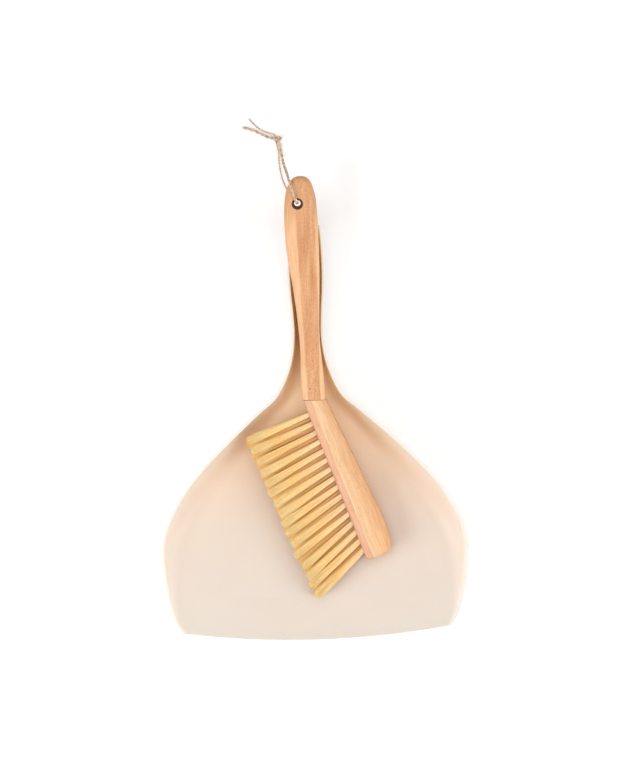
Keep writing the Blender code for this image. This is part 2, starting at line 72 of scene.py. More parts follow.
# Dust pan
PAN_WALL = 0.0020
LIP_WALL = 0.0010
LIP_TAPER = 0.014
LIP_ROUND = 0.0007
PAN_HALF = 0.1214
LIP_HALF = 0.1072
LIP_Y = -0.1770
LIP_BULGE = 0.0081
LIP_BULGE_REACH = 0.075
FLOOR_END_Y = -0.015
RAMP_BLEND = 0.060
BOWL_END_Y = 0.0080
NECK_HALF = HANDLE_NECK_X + 0.0007 + PAN_WALL
NECK_Y = BRUSH_PLACE.y + (HEAD_LENGTH + (1 - NECK_SHARE) * HANDLE_LENGTH) * math.cos(BRUSH_SLOPE)
PAST_NECK = 0.4719 * HANDLE_LENGTH
TO_NECK = NECK_Y - BOWL_END_Y
PAN_ROWS = 170
FLOOR_STEPS = 8
WALL_STEPS = 18
# Painted light that makes the walls paler: full for this many points from the rim, and gone after this many
# more
RIM_POINTS = 3.0
RIM_FADE = 15.0


def trough_row(share, wider, flat, drop):
    """A row of the outline past the neck, with the rim this far below the middle plane of the brush."""
    y = NECK_Y + share * PAST_NECK
    rim = BRUSH_PLACE.z + (y - BRUSH_PLACE.y) * math.tan(BRUSH_SLOPE) - drop
    return (y, NECK_HALF + wider, flat, rim, 5.0)


# Pan outline: (y, half width, half width of the flat floor, height of the rim, steepness of the wall)
PAN_STATIONS = (
    (LIP_Y, LIP_HALF, 0.945 * LIP_HALF, 0.0014, 2.2),
    (-0.1650, 0.932 * PAN_HALF, 0.865 * PAN_HALF, 0.0030, 2.2),
    (-0.1500, 0.964 * PAN_HALF, 0.860 * PAN_HALF, 0.0052, 2.2),
    (-0.1300, 0.991 * PAN_HALF, 0.842 * PAN_HALF, 0.0084, 2.2),
    (-0.1130, 1.000 * PAN_HALF, 0.806 * PAN_HALF, 0.0112, 2.2),
    (-0.0980, 0.984 * PAN_HALF, 0.760 * PAN_HALF, 0.0136, 2.3),
    (-0.0820, 0.930 * PAN_HALF, 0.694 * PAN_HALF, 0.0162, 2.3),
    (-0.0660, 0.853 * PAN_HALF, 0.606 * PAN_HALF, 0.0187, 2.3),
    (-0.0500, 0.748 * PAN_HALF, 0.504 * PAN_HALF, 0.0211, 2.4),
    (-0.0340, 0.621 * PAN_HALF, 0.402 * PAN_HALF, 0.0233, 2.7),
    (-0.0180, 0.483 * PAN_HALF, 0.292 * PAN_HALF, 0.0251, 3.0),
    (-0.0020, 0.337 * PAN_HALF, 0.170 * PAN_HALF, 0.0263, 3.2),
    (BOWL_END_Y, 0.241 * PAN_HALF, 0.100 * PAN_HALF, 0.0269, 3.3),
    (BOWL_END_Y + 0.150 * TO_NECK, NECK_HALF + 0.0116, 0.0075, 0.0273, 3.4),
    (BOWL_END_Y + 0.337 * TO_NECK, NECK_HALF + 0.0068, 0.0050, 0.0277, 3.8),
    (BOWL_END_Y + 0.561 * TO_NECK, NECK_HALF + 0.0028, 0.0030, 0.0280, 4.3),
    (BOWL_END_Y + 0.785 * TO_NECK, NECK_HALF + 0.0007, 0.0020, 0.0282, 4.8),
    (NECK_Y, NECK_HALF, 0.0020, 0.0282, 5.0),
    trough_row(0.196, 0.0007, 0.0020, 0.0048),
    trough_row(0.398, 0.0019, 0.0025, 0.0063),
    trough_row(0.600, 0.0023, 0.0030, 0.0074),
    trough_row(0.815, 0.0018, 0.0030, 0.0080),
    trough_row(0.957, 0.0009, 0.0030, 0.0085),
    trough_row(1.000, 0.0005, 0.0030, 0.0094),
)

# Handle outline in the brush plane: (share of the length from the tip, left edge, right edge,
# half thickness, chamfer underneath, top left chamfer, top right chamfer)
HANDLE_STATIONS = (
    (0.0000, -0.0043, 0.0001, 0.0024, 0.0010, 0.0010, 0.0010),
    (0.0034, -0.0062, 0.0019, 0.0038, 0.0018, 0.0018, 0.0018),
    (0.0123, -0.0085, 0.0042, 0.0052, 0.0028, 0.0029, 0.0028),
    (0.0337, -0.0113, 0.0067, 0.0065, 0.0036, 0.0038, 0.0035),
    (0.0617, -0.0134, 0.0083, 0.0072, 0.0042, 0.0046, 0.0040),
    (0.0953, -0.0147, 0.0096, 0.0076, 0.0046, 0.0052, 0.0043),
    (0.1402, -0.0155, 0.0104, 0.0077, 0.0048, 0.0058, 0.0042),
    (0.1963, -0.0158, 0.0108, 0.0077, 0.0049, 0.0063, 0.0039),
    (0.2804, -0.0154, 0.0110, 0.0077, 0.0049, 0.0066, 0.0034),
    (0.3814, -0.0137, 0.0111, 0.0077, 0.0046, 0.0064, 0.0028),
    (0.4823, -0.0109, 0.0107, 0.0078, 0.0040, 0.0057, 0.0024),
    (0.5609, -0.0092, 0.0102, 0.0079, 0.0036, 0.0050, 0.0022),
    (0.6282, -0.0079, 0.0098, 0.0080, 0.0033, 0.0044, 0.0021),
    (0.6955, -0.0070, 0.0095, 0.0082, 0.0031, 0.0040, 0.0020),
    (0.7572, -0.0064, 0.0098, 0.0085, 0.0031, 0.0039, 0.0020),
    (0.8188, -0.0063, 0.0106, 0.0088, 0.0031, 0.0041, 0.0021),
    (0.8749, -0.0065, 0.0114, 0.0091, 0.0032, 0.0044, 0.0022),
    (0.9422, -0.0063, 0.0121, 0.0094, 0.0033, 0.0046, 0.0023),
    (1.0000, -0.0057, 0.0125, 0.0095, 0.0034, 0.0047, 0.0024),
)
HANDLE_ROWS = 120
TIP_RINGS = 5
TIP_ROUND = 0.0020
TIP_TURN = math.radians(58)
HOLE_SIDES = 48
CUT_PAST = 0.004
# The seam between the left strip and the middle one leans; the right strip starts after a soft edge. Both
# strips are lighter wood whose lightness is partly painted highlight on the handle's bevels
SEAM_X = 0.0014
SEAM_Y = 0.1266
SEAM_LEAN = 0.0353
SEAM_SOFT = 0.0005
RIGHT_STRIP_PAINTED_LIGHT = (0.0081, 0.0092)
PIN_MARK = (0.0003, 0.1340)

# Head in the brush plane, from the joint: (x, y, roundness of the corner, how far the flat faces stay in)
HEAD_OUTLINE = (
    (-0.0053, HEAD_LENGTH - GAP, 0.0004, 0.0014),
    (0.0414, -0.0038, 0.0022, 0.0014),
    (0.0449, -0.0044, 0.0020, 0.0014),
    (0.0552, -0.0004, 0.0024, 0.0018),
    (0.0597, 0.0016, 0.0020, 0.0026),
    (0.0616, 0.0042, 0.0020, 0.0034),
    (0.0619, 0.0085, 0.0030, 0.0044),
    (0.0572, 0.0250, 0.0060, 0.0050),
    (0.0530, 0.0358, 0.0060, 0.0050),
    (0.0129, HEAD_LENGTH - GAP, 0.0004, 0.0050),
)

# Bristle tufts
TUFTS_LONG_ROW = 16
TUFT_FIRST = 0.0124
TUFT_LAST = 0.1292
TUFT_ROOT_RADIUS = 0.0020
TUFT_ROW_PITCH = HEAD_HALF_THICK - HEAD_CHAMFER_RISE - TUFT_ROOT_RADIUS - GAP
TUFT_TIP_RADIUS = 0.0036
TUFT_TIP_HALF_THICK = 0.0023
TUFT_HOLE_DEPTH = 0.0095
TUFT_OUT = 0.0545
TUFT_SPLAY_FIRST = math.radians(2.0)
TUFT_SPLAY_LAST = math.radians(23.5)
TUFT_HOLE_SIDES = 20
TUFT_LEAN = 0.0015
TUFT_SWELL = (0.74, 1.02)
TUFT_LONGEST = TUFT_OUT + 0.0012
TUFT_SHORTER = 0.0026
FIBRES = 90
FIBRE_SIDES = 4
FIBRE_RADIUS = 0.00030
FIBRE_WIDTHS = (0.8, 1.15)
FIBRE_SHORTER = 0.0062
FIBRE_DOME = 0.0010
FIBRE_STRAY = 0.00042
FIBRE_WAVE = 0.00010
FIBRE_SHARES = (-0.12, 0.0, 0.2, 0.45, 0.72, 1.0)
FIBRE_TAPER = (1.0, 1.0, 1.0, 0.95, 0.80, 0.40)
ROOT_FILL = 0.92
TIP_FILL = 0.93
GOLDEN_ANGLE = 2.399963

# Twine
TWINE_THICK = 0.0020
TWINE_THIN = 0.0010
KNOT_AT = Vector((-0.0190, 0.2160, 0.0028))
KNOT_HALF = Vector((0.0033, 0.0027, 0.0026))
KNOT_STRAND = 0.0016
KNOT_STEPS = 96
THICK_PITCH = 0.0088
THIN_PITCH = 0.0046
KNOT_PITCH = 0.0056
# Plies of a strand, as shares of its diameter
PLY_OFFSET = 0.30
PLY_RADIUS = 0.320
PLY_PARTING = 0.16
PLY_ABOVE_FLOOR = 0.36
PLY_WOBBLE = 0.16
PLY_THINNING = 0.55

# Studio: soft boxes as (name, compass direction, elevation, distance, size, power)
SOFT_BOXES = (
    ("key_left", 208, 40, 1.3, (0.8, 0.8), 9.0),
    ("fill_right", -20, 38, 1.4, (0.9, 0.9), 8.2),
    ("top", 90, 82, 1.6, (1.2, 1.2), 8.7),
)
LIGHTS_AIM = Vector((0, -0.02, 0.01))
AIR_LIGHT = 0.40
FLOOR_HALF = 6.0
FLOOR_DROP = 0.0002
FLOOR_GLOW = 0.14
CAMERA_HEIGHT = 6.0
CAMERA_PLACE = (0.0047, 0.0225, CAMERA_HEIGHT)
CAMERA_ROLL = math.radians(1.8)
VIEW_HEIGHT = 0.608


def brush_matrix():
    return Matrix.Translation(BRUSH_PLACE) @ Matrix.Rotation(BRUSH_SLOPE, 4, "X")


def brush_point(x, y, z):
    """Where a point of the brush plane lies in the world."""
    return brush_matrix() @ Vector((x, y, z))


# ---------------------------------------------------------------- shader nodes


def node(tree, kind, inputs=None, **settings):
    """A new shader node with its settings. An input is given by name or number, as a value or an output."""
    made = tree.nodes.new(kind)
    for name, value in settings.items():
        setattr(made, name, value)
    for key, value in (inputs or {}).items():
        if isinstance(value, bpy.types.NodeSocket):
            tree.links.new(value, made.inputs[key])
        else:
            made.inputs[key].default_value = value
    return made


def ramp(tree, factor, stops):
    """The colour output of a ramp through (position, colour or grey) stops."""
    made = node(tree, "ShaderNodeValToRGB", {"Fac": factor})
    while len(made.color_ramp.elements) < len(stops):
        made.color_ramp.elements.new(1.0)
    for element, (position, value) in zip(made.color_ramp.elements, stops):
        element.position = position
        colour = value if isinstance(value, tuple) else (value, value, value)
        element.color = (*colour, 1.0)
    return made.outputs["Color"]


def math_node(tree, operation, *values):
    return node(tree, "ShaderNodeMath", dict(enumerate(values)), operation=operation).outputs[0]


def mix(tree, factor, a, b, blend="MIX"):
    """The colour output of a mix of two colours."""
    made = node(tree, "ShaderNodeMix", {"Factor": factor}, data_type="RGBA", blend_type=blend)
    for socket, value in ((made.inputs[6], a), (made.inputs[7], b)):
        if isinstance(value, bpy.types.NodeSocket):
            tree.links.new(value, socket)
        else:
            socket.default_value = (*value, 1.0)
    return made.outputs[2]


def map_range(tree, value, low, high, to_low=0.0, to_high=1.0, how="LINEAR"):
    """The value carried from one range to another, and held at its ends."""
    ranges = {"Value": value, "From Min": low, "From Max": high, "To Min": to_low, "To Max": to_high}
    return node(tree, "ShaderNodeMapRange", ranges, interpolation_type=how).outputs[0]


def distance_from(tree, place, point):
    """How far a place is from a point of the brush plane."""
    ends = {0: place, 1: (*point, 0.0)}
    return node(tree, "ShaderNodeVectorMath", ends, operation="DISTANCE").outputs["Value"]


def coordinates(tree):
    """The object's own coordinates, in metres."""
    return node(tree, "ShaderNodeTexCoord").outputs["Object"]


def noise_of(tree, vector, scale, detail, roughness=0.55, distortion=0.0):
    made = node(
        tree,
        "ShaderNodeTexNoise",
        {
            "Vector": vector,
            "Scale": scale,
            "Detail": detail,
            "Roughness": roughness,
            "Distortion": distortion,
        },
    )
    return made.outputs["Fac"]


def new_material(name):
    mat = bpy.data.materials.new(name)
    mat.use_nodes = True
    tree = mat.node_tree
    return mat, tree, tree.nodes["Principled BSDF"]


def bump(tree, shader, height, strength, distance):
    made = node(tree, "ShaderNodeBump", {"Height": height, "Strength": strength, "Distance": distance})
    tree.links.new(made.outputs[0], shader.inputs["Normal"])


def plastic_material():
    """Cream plastic with a satin moulded surface and a few plant specks, with painted light: a warm glow up
    the ramp into the neck and paler walls towards the rim.
    """
    mat, tree, shader = new_material("pan_cream_plastic")
    place = coordinates(tree)
    broad = noise_of(tree, place, 14.0, 2.0)
    pale = ramp(tree, broad, ((0.30, (0.674, 0.579, 0.504)), (0.70, (0.696, 0.600, 0.523))))
    y = node(tree, "ShaderNodeSeparateXYZ", {"Vector": place}).outputs["Y"]
    up_the_ramp = map_range(tree, y, -0.150, 0.010)
    # Painted light: a warm glow up the ramp into the neck stands in for light bounced off the wood and
    # shining through the plastic.
    painted_bounce_glow = ramp(
        tree,
        up_the_ramp,
        (
            (0.00, (0.684, 0.590, 0.515)),
            (0.35, (0.706, 0.582, 0.484)),
            (0.60, (0.750, 0.570, 0.435)),
            (0.80, (0.860, 0.610, 0.415)),
            (1.00, (1.000, 0.710, 0.465)),
        ),
    )
    marks = node(tree, "ShaderNodeAttribute", attribute_name="shell").outputs["Color"]
    marks = node(tree, "ShaderNodeSeparateColor", {"Color": marks})
    rim = marks.outputs[0]
    past_the_lip = math_node(tree, "GREATER_THAN", up_the_ramp, 0.0)
    base = mix(tree, marks.outputs[1], pale, mix(tree, past_the_lip, pale, painted_bounce_glow))
    # Painted light: the walls turn paler towards the rim, as if lit from all round.
    painted_wall_light = map_range(tree, up_the_ramp, 0.0, 0.6, 0.50, 0.85)
    base = mix(tree, math_node(tree, "MULTIPLY", rim, painted_wall_light), base, (0.920, 0.805, 0.710))
    specks = node(tree, "ShaderNodeTexVoronoi", {"Vector": place, "Scale": 260.0})
    chosen = node(tree, "ShaderNodeTexWhiteNoise", {"Vector": specks.outputs["Position"]})
    seed = math_node(tree, "GREATER_THAN", chosen.outputs["Value"], 0.93)
    dot = ramp(tree, specks.outputs["Distance"], ((0.08, 1.0), (0.26, 0.0)))
    share = math_node(tree, "MULTIPLY", seed, dot)
    share = math_node(tree, "MULTIPLY", share, 0.13)
    colour = mix(tree, share, base, (0.52, 0.38, 0.26))
    tree.links.new(colour, shader.inputs["Base Color"])
    fine = noise_of(tree, place, 900.0, 2.0)
    rough = ramp(tree, noise_of(tree, place, 40.0, 3.0), ((0.3, 0.40), (0.7, 0.50)))
    tree.links.new(rough, shader.inputs["Roughness"])
    bump(tree, shader, fine, 0.10, 0.0002)
    shader.inputs["Subsurface Weight"].default_value = 0.35
    shader.inputs["Subsurface Radius"].default_value = (1.0, 0.55, 0.30)
    shader.inputs["Subsurface Scale"].default_value = 0.0060
    return mat


def brush_coordinates(tree, turn=0.0):
    """Coordinates in the plane of the brush, turned so that Y runs along the grain."""
    place = node(tree, "ShaderNodeTexCoord").outputs["Object"]
    flat = node(
        tree,
        "ShaderNodeMapping",
        {"Vector": place, "Location": BRUSH_PLACE, "Rotation": (BRUSH_SLOPE, 0.0, 0.0)},
        vector_type="TEXTURE",
    ).outputs[0]
    if not turn:
        return flat
    return node(tree, "ShaderNodeMapping", {"Vector": flat, "Rotation": (0.0, 0.0, turn)}).outputs[0]


def stretched(tree, place, across, along):
    """Coordinates scaled for marks that run along the grain."""
    return node(tree, "ShaderNodeMapping", {"Vector": place, "Scale": (across, along, across)}).outputs[0]


def wood_shader(tree, shader, place, base):
    """Adds grain, pores and figure to a base colour, and gives the surface its soft sheen."""
    figure = noise_of(tree, stretched(tree, place, 1.0, 0.10), 260.0, 4.0, 0.6, 0.4)
    streaks = noise_of(tree, stretched(tree, place, 1.0, 0.035), 1500.0, 3.0, 0.6)
    pores = noise_of(tree, stretched(tree, place, 1.0, 0.12), 2300.0, 2.0, 0.5)
    shades = ((0.30, (0.90, 0.86, 0.82)), (0.52, (1.0, 1.0, 1.0)), (0.72, (1.05, 1.06, 1.08)))
    shade = ramp(tree, figure, shades)
    colour = mix(tree, 1.0, base, shade, "MULTIPLY")
    shades = ((0.34, (0.86, 0.80, 0.74)), (0.52, (1.0, 1.0, 1.0)), (0.70, (1.04, 1.05, 1.07)))
    lines = ramp(tree, streaks, shades)
    colour = mix(tree, 0.8, colour, lines, "MULTIPLY")
    dark = ramp(tree, pores, ((0.655, 0.0), (0.72, 0.75)))
    colour = mix(tree, dark, colour, (0.42, 0.20, 0.09))
    tree.links.new(colour, shader.inputs["Base Color"])
    rough = ramp(tree, figure, ((0.3, 0.50), (0.7, 0.60)))
    tree.links.new(rough, shader.inputs["Roughness"])
    height = math_node(tree, "SUBTRACT", streaks, math_node(tree, "MULTIPLY", dark, 0.8))
    bump(tree, shader, height, 0.22, 0.00015)
    shader.inputs["Specular IOR Level"].default_value = 0.38
    return colour


def handle_material():
    """The handle's laminations side by side, their lighter left and right strips also painted highlight on
    the bevels, speckled by the joint, and painted shade on the wall of its hole.
    """
    mat, tree, shader = new_material("handle_laminated_wood")
    place = brush_coordinates(tree)
    parts = node(tree, "ShaderNodeSeparateXYZ", {"Vector": place})
    x = parts.outputs["X"]
    y = parts.outputs["Y"]
    wander = noise_of(tree, stretched(tree, place, 1.0, 0.15), 120.0, 2.0)
    wander = math_node(tree, "MULTIPLY", math_node(tree, "SUBTRACT", wander, 0.5), 0.0016)
    lean = math_node(tree, "MULTIPLY", math_node(tree, "SUBTRACT", y, SEAM_Y), SEAM_LEAN)
    edge = math_node(tree, "ADD", x, wander)
    seam = math_node(tree, "ADD", edge, math_node(tree, "ADD", lean, SEAM_X))
    left = map_range(tree, seam, SEAM_SOFT, -SEAM_SOFT)
    right = map_range(tree, edge, *RIGHT_STRIP_PAINTED_LIGHT)
    high = map_range(tree, y, 0.255, 0.285, how="SMOOTHSTEP")
    figure = noise_of(tree, stretched(tree, place, 1.0, 0.20), 150.0, 2.0)
    base = ramp(tree, figure, ((0.35, (0.645, 0.305, 0.135)), (0.65, (0.725, 0.385, 0.192))))
    # Lighter left and right strips: lamination tone and also painted highlight where the bevels catch the
    # light.
    base = mix(tree, right, base, (0.890, 0.540, 0.280))
    base = mix(tree, left, base, (0.845, 0.490, 0.262))
    base = mix(tree, high, base, (0.705, 0.370, 0.180))
    middle = math_node(tree, "SUBTRACT", math_node(tree, "SUBTRACT", 1.0, left), right)
    speckle = noise_of(tree, stretched(tree, place, 1.0, 0.55), 1150.0, 2.0, 0.6)
    shades = ((0.36, (0.80, 0.68, 0.60)), (0.52, (1.0, 1.0, 1.0)), (0.66, (1.12, 1.18, 1.22)))
    mottled = ramp(tree, speckle, shades)
    close = map_range(tree, y, 0.170, 0.130, 0.42, 0.85, "SMOOTHSTEP")
    speckled = mix(tree, 1.0, base, mottled, "MULTIPLY")
    colour = mix(tree, math_node(tree, "MULTIPLY", close, middle), base, speckled)
    colour = wood_shader(tree, shader, place, colour)
    flat = node(tree, "ShaderNodeCombineXYZ", {"X": x, "Y": y}).outputs[0]
    mark = map_range(tree, distance_from(tree, flat, PIN_MARK), 0.0009, 0.0004, 0.0, 0.8)
    colour = mix(tree, mark, colour, (0.20, 0.090, 0.045))
    # Painted shade: the countersink and the hole's wall are dark brown where the hanging hole lies in
    # shadow.
    away = distance_from(tree, flat, HOLE)
    outer = COUNTERSINK_RADIUS + 0.0003
    painted_hole_shade = map_range(tree, away, outer, outer - 0.0007, how="SMOOTHSTEP")
    hole_shadow_noise = noise_of(tree, place, 900.0, 3.0)
    painted_hole_shadow = ramp(tree, hole_shadow_noise, ((0.35, (0.045, 0.018, 0.008)), (0.65, (0.16, 0.065, 0.026))))
    tree.links.new(mix(tree, painted_hole_shade, colour, painted_hole_shadow), shader.inputs["Base Color"])
    return mat


def head_material():
    """The head's glued strips: pink by the bristles, pale where it meets the handle, orange at the back."""
    mat, tree, shader = new_material("head_laminated_wood")
    turn = math.radians(-19.9)
    place = brush_coordinates(tree, turn)
    parts = node(tree, "ShaderNodeSeparateXYZ", {"Vector": place})
    wander = noise_of(tree, stretched(tree, place, 1.0, 0.12), 90.0, 2.0)
    wander = math_node(tree, "MULTIPLY", math_node(tree, "SUBTRACT", wander, 0.5), 0.0022)
    left = Vector(HEAD_OUTLINE[0][:2])
    left.rotate(Matrix.Rotation(turn, 2))
    edge = math_node(tree, "ADD", parts.outputs["X"], wander)
    across = map_range(tree, edge, left.x, left.x + 0.025)
    strips = ramp(
        tree,
        across,
        (
            (0.00, (0.745, 0.425, 0.262)),
            (0.225, (0.730, 0.410, 0.248)),
            (0.245, (0.830, 0.545, 0.318)),
            (0.42, (0.800, 0.500, 0.280)),
            (0.60, (0.765, 0.440, 0.225)),
            (1.00, (0.740, 0.395, 0.188)),
        ),
    )
    wood_shader(tree, shader, place, strips)
    return mat


def bristle_material():
    """Straw: every fibre has its own tone; pale in the upper row, with painted shade making the rows further
    down deeper orange and darkest at their roots.
    """
    mat, tree, shader = new_material("bristle_straw")
    marks = node(tree, "ShaderNodeAttribute", attribute_name="fibre").outputs["Color"]
    parts = node(tree, "ShaderNodeSeparateColor", {"Color": marks})
    tone = parts.outputs[0]
    share = parts.outputs[1]
    level = node(tree, "ShaderNodeSeparateXYZ", {"Vector": brush_coordinates(tree)}).outputs["Z"]
    height = map_range(tree, level, -0.0010, 0.0062, how="SMOOTHSTEP")
    upper = ramp(
        tree,
        share,
        (
            (0.00, (0.960, 0.690, 0.400)),
            (0.20, (0.970, 0.690, 0.350)),
            (0.60, (0.985, 0.690, 0.290)),
            (1.00, (1.000, 0.790, 0.385)),
        ),
    )
    # Painted shade: the lower rows, seen between the upper tufts, are darker and more orange, most of all at
    # their roots.
    shades = ((0.0, (0.720, 0.380, 0.170)), (0.4, (0.930, 0.510, 0.170)), (1.0, (0.970, 0.610, 0.200)))
    painted_shade_lower = ramp(tree, share, shades)
    colour = mix(tree, height, painted_shade_lower, upper)
    vary = ramp(tree, tone, ((0.0, (0.90, 0.79, 0.64)), (0.25, (1.0, 0.97, 0.92)), (1.0, (1.0, 1.05, 1.14))))
    colour = mix(tree, 1.0, colour, vary, "MULTIPLY")
    blotch = noise_of(tree, coordinates(tree), 500.0, 2.0)
    patch = ramp(tree, blotch, ((0.35, (0.97, 0.90, 0.80)), (0.6, (1.0, 1.0, 1.0))))
    colour = mix(tree, 0.7, colour, patch, "MULTIPLY")
    tree.links.new(colour, shader.inputs["Base Color"])
    rough = ramp(tree, tone, ((0.0, 0.38), (1.0, 0.55)))
    tree.links.new(rough, shader.inputs["Roughness"])
    return mat


def dowel_material():
    """Turned dowel rod with fine grain along it."""
    mat, tree, shader = new_material("dowel_beech")
    place = brush_coordinates(tree)
    tint = noise_of(tree, stretched(tree, place, 1.0, 0.08), 600.0, 2.0)
    base = ramp(tree, tint, ((0.35, (0.66, 0.41, 0.23)), (0.65, (0.76, 0.50, 0.29))))
    wood_shader(tree, shader, place, base)
    return mat


def twine_material():
    """Jute: fibres that run round the ply, light and dark."""
    mat, tree, shader = new_material("twine_jute")
    place = coordinates(tree)
    streaks = noise_of(tree, place, 2600.0, 3.0, 0.65)
    patches = noise_of(tree, place, 420.0, 2.0)
    fine = math_node(tree, "MULTIPLY", streaks, 0.55)
    blend = math_node(tree, "ADD", fine, math_node(tree, "MULTIPLY", patches, 0.45))
    shades = ((0.36, (0.33, 0.215, 0.145)), (0.50, (0.62, 0.440, 0.310)), (0.64, (0.90, 0.710, 0.540)))
    colour = ramp(tree, blend, shades)
    tree.links.new(colour, shader.inputs["Base Color"])
    shader.inputs["Roughness"].default_value = 0.85
    bump(tree, shader, streaks, 0.5, 0.0002)
    return mat


# ---------------------------------------------------------------- meshes


def outward_mesh(name, points, faces):
    """A mesh whose faces point outwards."""
    data = bpy.data.meshes.new(name)
    data.from_pydata([tuple(p) for p in points], [], faces)
    shell = bmesh.new()
    shell.from_mesh(data)
    bmesh.ops.recalc_face_normals(shell, faces=shell.faces)
    shell.to_mesh(data)
    shell.free()
    return data


def new_piece(name, points, faces, mat, body, smooth):
    """A mesh object that rides on a body."""
    data = outward_mesh(name, points, faces)
    data.shade_smooth()
    if smooth:
        data.set_sharp_from_angle(angle=math.radians(smooth))
    data.materials.append(mat)
    obj = bpy.data.objects.new(name, data)
    bpy.context.scene.collection.objects.link(obj)
    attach(obj, body)
    return obj


def curve_points(route, step):
    """Points about this far apart on a smooth curve through the route."""
    route = [Vector(p) for p in route]
    ends = [route[0] * 2 - route[1]] + route + [route[-1] * 2 - route[-2]]
    fine = []
    for i in range(1, len(ends) - 2):
        a, b, c, d = ends[i - 1 : i + 3]
        for k in range(24):
            t = k / 24
            square = (2 * a - 5 * b + 4 * c - d) * t**2
            cube = (3 * b - a - 3 * c + d) * t**3
            fine.append(0.5 * (2 * b + (c - a) * t + square + cube))
    fine.append(route[-1])
    lengths = [0.0]
    for a, b in zip(fine, fine[1:]):
        lengths.append(lengths[-1] + (b - a).length)
    count = max(2, round(lengths[-1] / step))
    points = []
    k = 0
    for i in range(count + 1):
        target = lengths[-1] * i / count
        while k < len(fine) - 2 and lengths[k + 1] < target:
            k += 1
        share = (target - lengths[k]) / (lengths[k + 1] - lengths[k])
        points.append(fine[k].lerp(fine[k + 1], min(max(share, 0.0), 1.0)))
    return points


def length_of(points):
    return sum((b - a).length for a, b in zip(points, points[1:]))


def frames_along(points):
    """(tangent, side, up) at each point, turning as little as they can."""
    tangents = []
    for i in range(len(points)):
        a = points[max(i - 1, 0)]
        b = points[min(i + 1, len(points) - 1)]
        tangents.append((b - a).normalized())
    side = tangents[0].orthogonal().normalized()
    frames = []
    for tangent in tangents:
        side = (side - tangent * side.dot(tangent)).normalized()
        frames.append((tangent, side, tangent.cross(side)))
    return frames


def tube(points, radii, sides):
    """Points and faces of a closed tube along these points."""
    frames = frames_along(points)
    rings = []
    for centre, radius, (_, side, up) in zip(points, radii, frames):
        for i in range(sides):
            angle = 2 * math.pi * i / sides
            rings.append(centre + (side * math.cos(angle) + up * math.sin(angle)) * radius)
    faces = [tuple(range(sides))[::-1], tuple(range(len(rings) - sides, len(rings)))]
    for row in range(len(points) - 1):
        for i in range(sides):
            j = (i + 1) % sides
            faces.append((row * sides + i, row * sides + j, (row + 1) * sides + j, (row + 1) * sides + i))
    return rings, faces


def join(parts):
    """Many (points, faces) as one."""
    points = []
    faces = []
    for more, sides in parts:
        faces += [tuple(len(points) + i for i in face) for face in sides]
        points += more
    return points, faces


def hermite(table, at):
    """The other columns of the table at this value of its first, on a smooth curve through its rows."""
    keys = [row[0] for row in table]
    at = min(max(at, keys[0]), keys[-1])
    i = max(k for k in range(len(keys) - 1) if keys[k] <= at)
    step = keys[i + 1] - keys[i]
    t = (at - keys[i]) / step
    values = []
    for column in range(1, len(table[0])):
        y0 = table[i][column]
        y1 = table[i + 1][column]
        m0 = slope_at(keys, table, i, column)
        m1 = slope_at(keys, table, i + 1, column)
        a = (1 + 2 * t) * (1 - t) ** 2 * y0 + t * (1 - t) ** 2 * step * m0
        b = t * t * (3 - 2 * t) * y1 - t * t * (1 - t) * step * m1
        values.append(a + b)
    return values


def slope_at(keys, table, i, column):
    """The slope at a row, level wherever the column turns round, so that the curve never overshoots."""
    if i in (0, len(keys) - 1):
        j = 0 if i == 0 else i - 1
        return (table[j + 1][column] - table[j][column]) / (keys[j + 1] - keys[j])
    before = (table[i][column] - table[i - 1][column]) / (keys[i] - keys[i - 1])
    after = (table[i + 1][column] - table[i][column]) / (keys[i + 1] - keys[i])
    if before * after <= 0:
        return 0.0
    return 2 * before * after / (before + after)


def smooth_step(t):
    t = min(max(t, 0.0), 1.0)
    return t * t * (3 - 2 * t)


def rounded(loop, radii, steps):
    """The closed outline with each corner turned into a curve that starts this far from it."""
    made = []
    for i, corner in enumerate(loop):
        before = loop[i - 1]
        after = loop[(i + 1) % len(loop)]
        radius = radii[i]
        a = corner.lerp(before, min(0.49, radius / (before - corner).length))
        b = corner.lerp(after, min(0.49, radius / (after - corner).length))
        for k in range(steps):
            t = k / (steps - 1)
            made.append(a * (1 - t) ** 2 + corner * 2 * t * (1 - t) + b * t * t)
    return made


def skin(rings, caps=True):
    """Points and faces of a surface through rings of the same size."""
    size = len(rings[0])
    points = [p for ring in rings for p in ring]
    faces = []
    for row in range(len(rings) - 1):
        for i in range(size):
            j = (i + 1) % size
            faces.append((row * size + i, row * size + j, (row + 1) * size + j, (row + 1) * size + i))
    if caps:
        faces.append(tuple(range(size))[::-1])
        faces.append(tuple(range(len(points) - size, len(points))))
    return points, faces


def cut(obj, points, faces):
    """Takes this closed shape out of the piece for good."""
    cutter = bpy.data.objects.new("cutter", outward_mesh("cutter", points, faces))
    bpy.context.scene.collection.objects.link(cutter)
    modifier = obj.modifiers.new("cut", "BOOLEAN")
    modifier.operation = "DIFFERENCE"
    modifier.solver = "EXACT"
    modifier.object = cutter
    bpy.context.view_layer.update()
    evaluated = obj.evaluated_get(bpy.context.evaluated_depsgraph_get())
    result = bpy.data.meshes.new_from_object(evaluated)
    obj.modifiers.clear()
    obj.data = result
    bpy.data.objects.remove(cutter)


# ---------------------------------------------------------------- dust pan


def wall_at(y):
    """Wall thickness, thin at the lip and rounded over at its very edge."""
    wall = LIP_WALL + (PAN_WALL - LIP_WALL) * smooth_step((y - LIP_Y) / LIP_TAPER)
    in_from_lip = min(1.0, (y - LIP_Y) / LIP_ROUND)
    return wall * (0.35 + 0.65 * math.sqrt(1 - (1 - in_from_lip) ** 2))


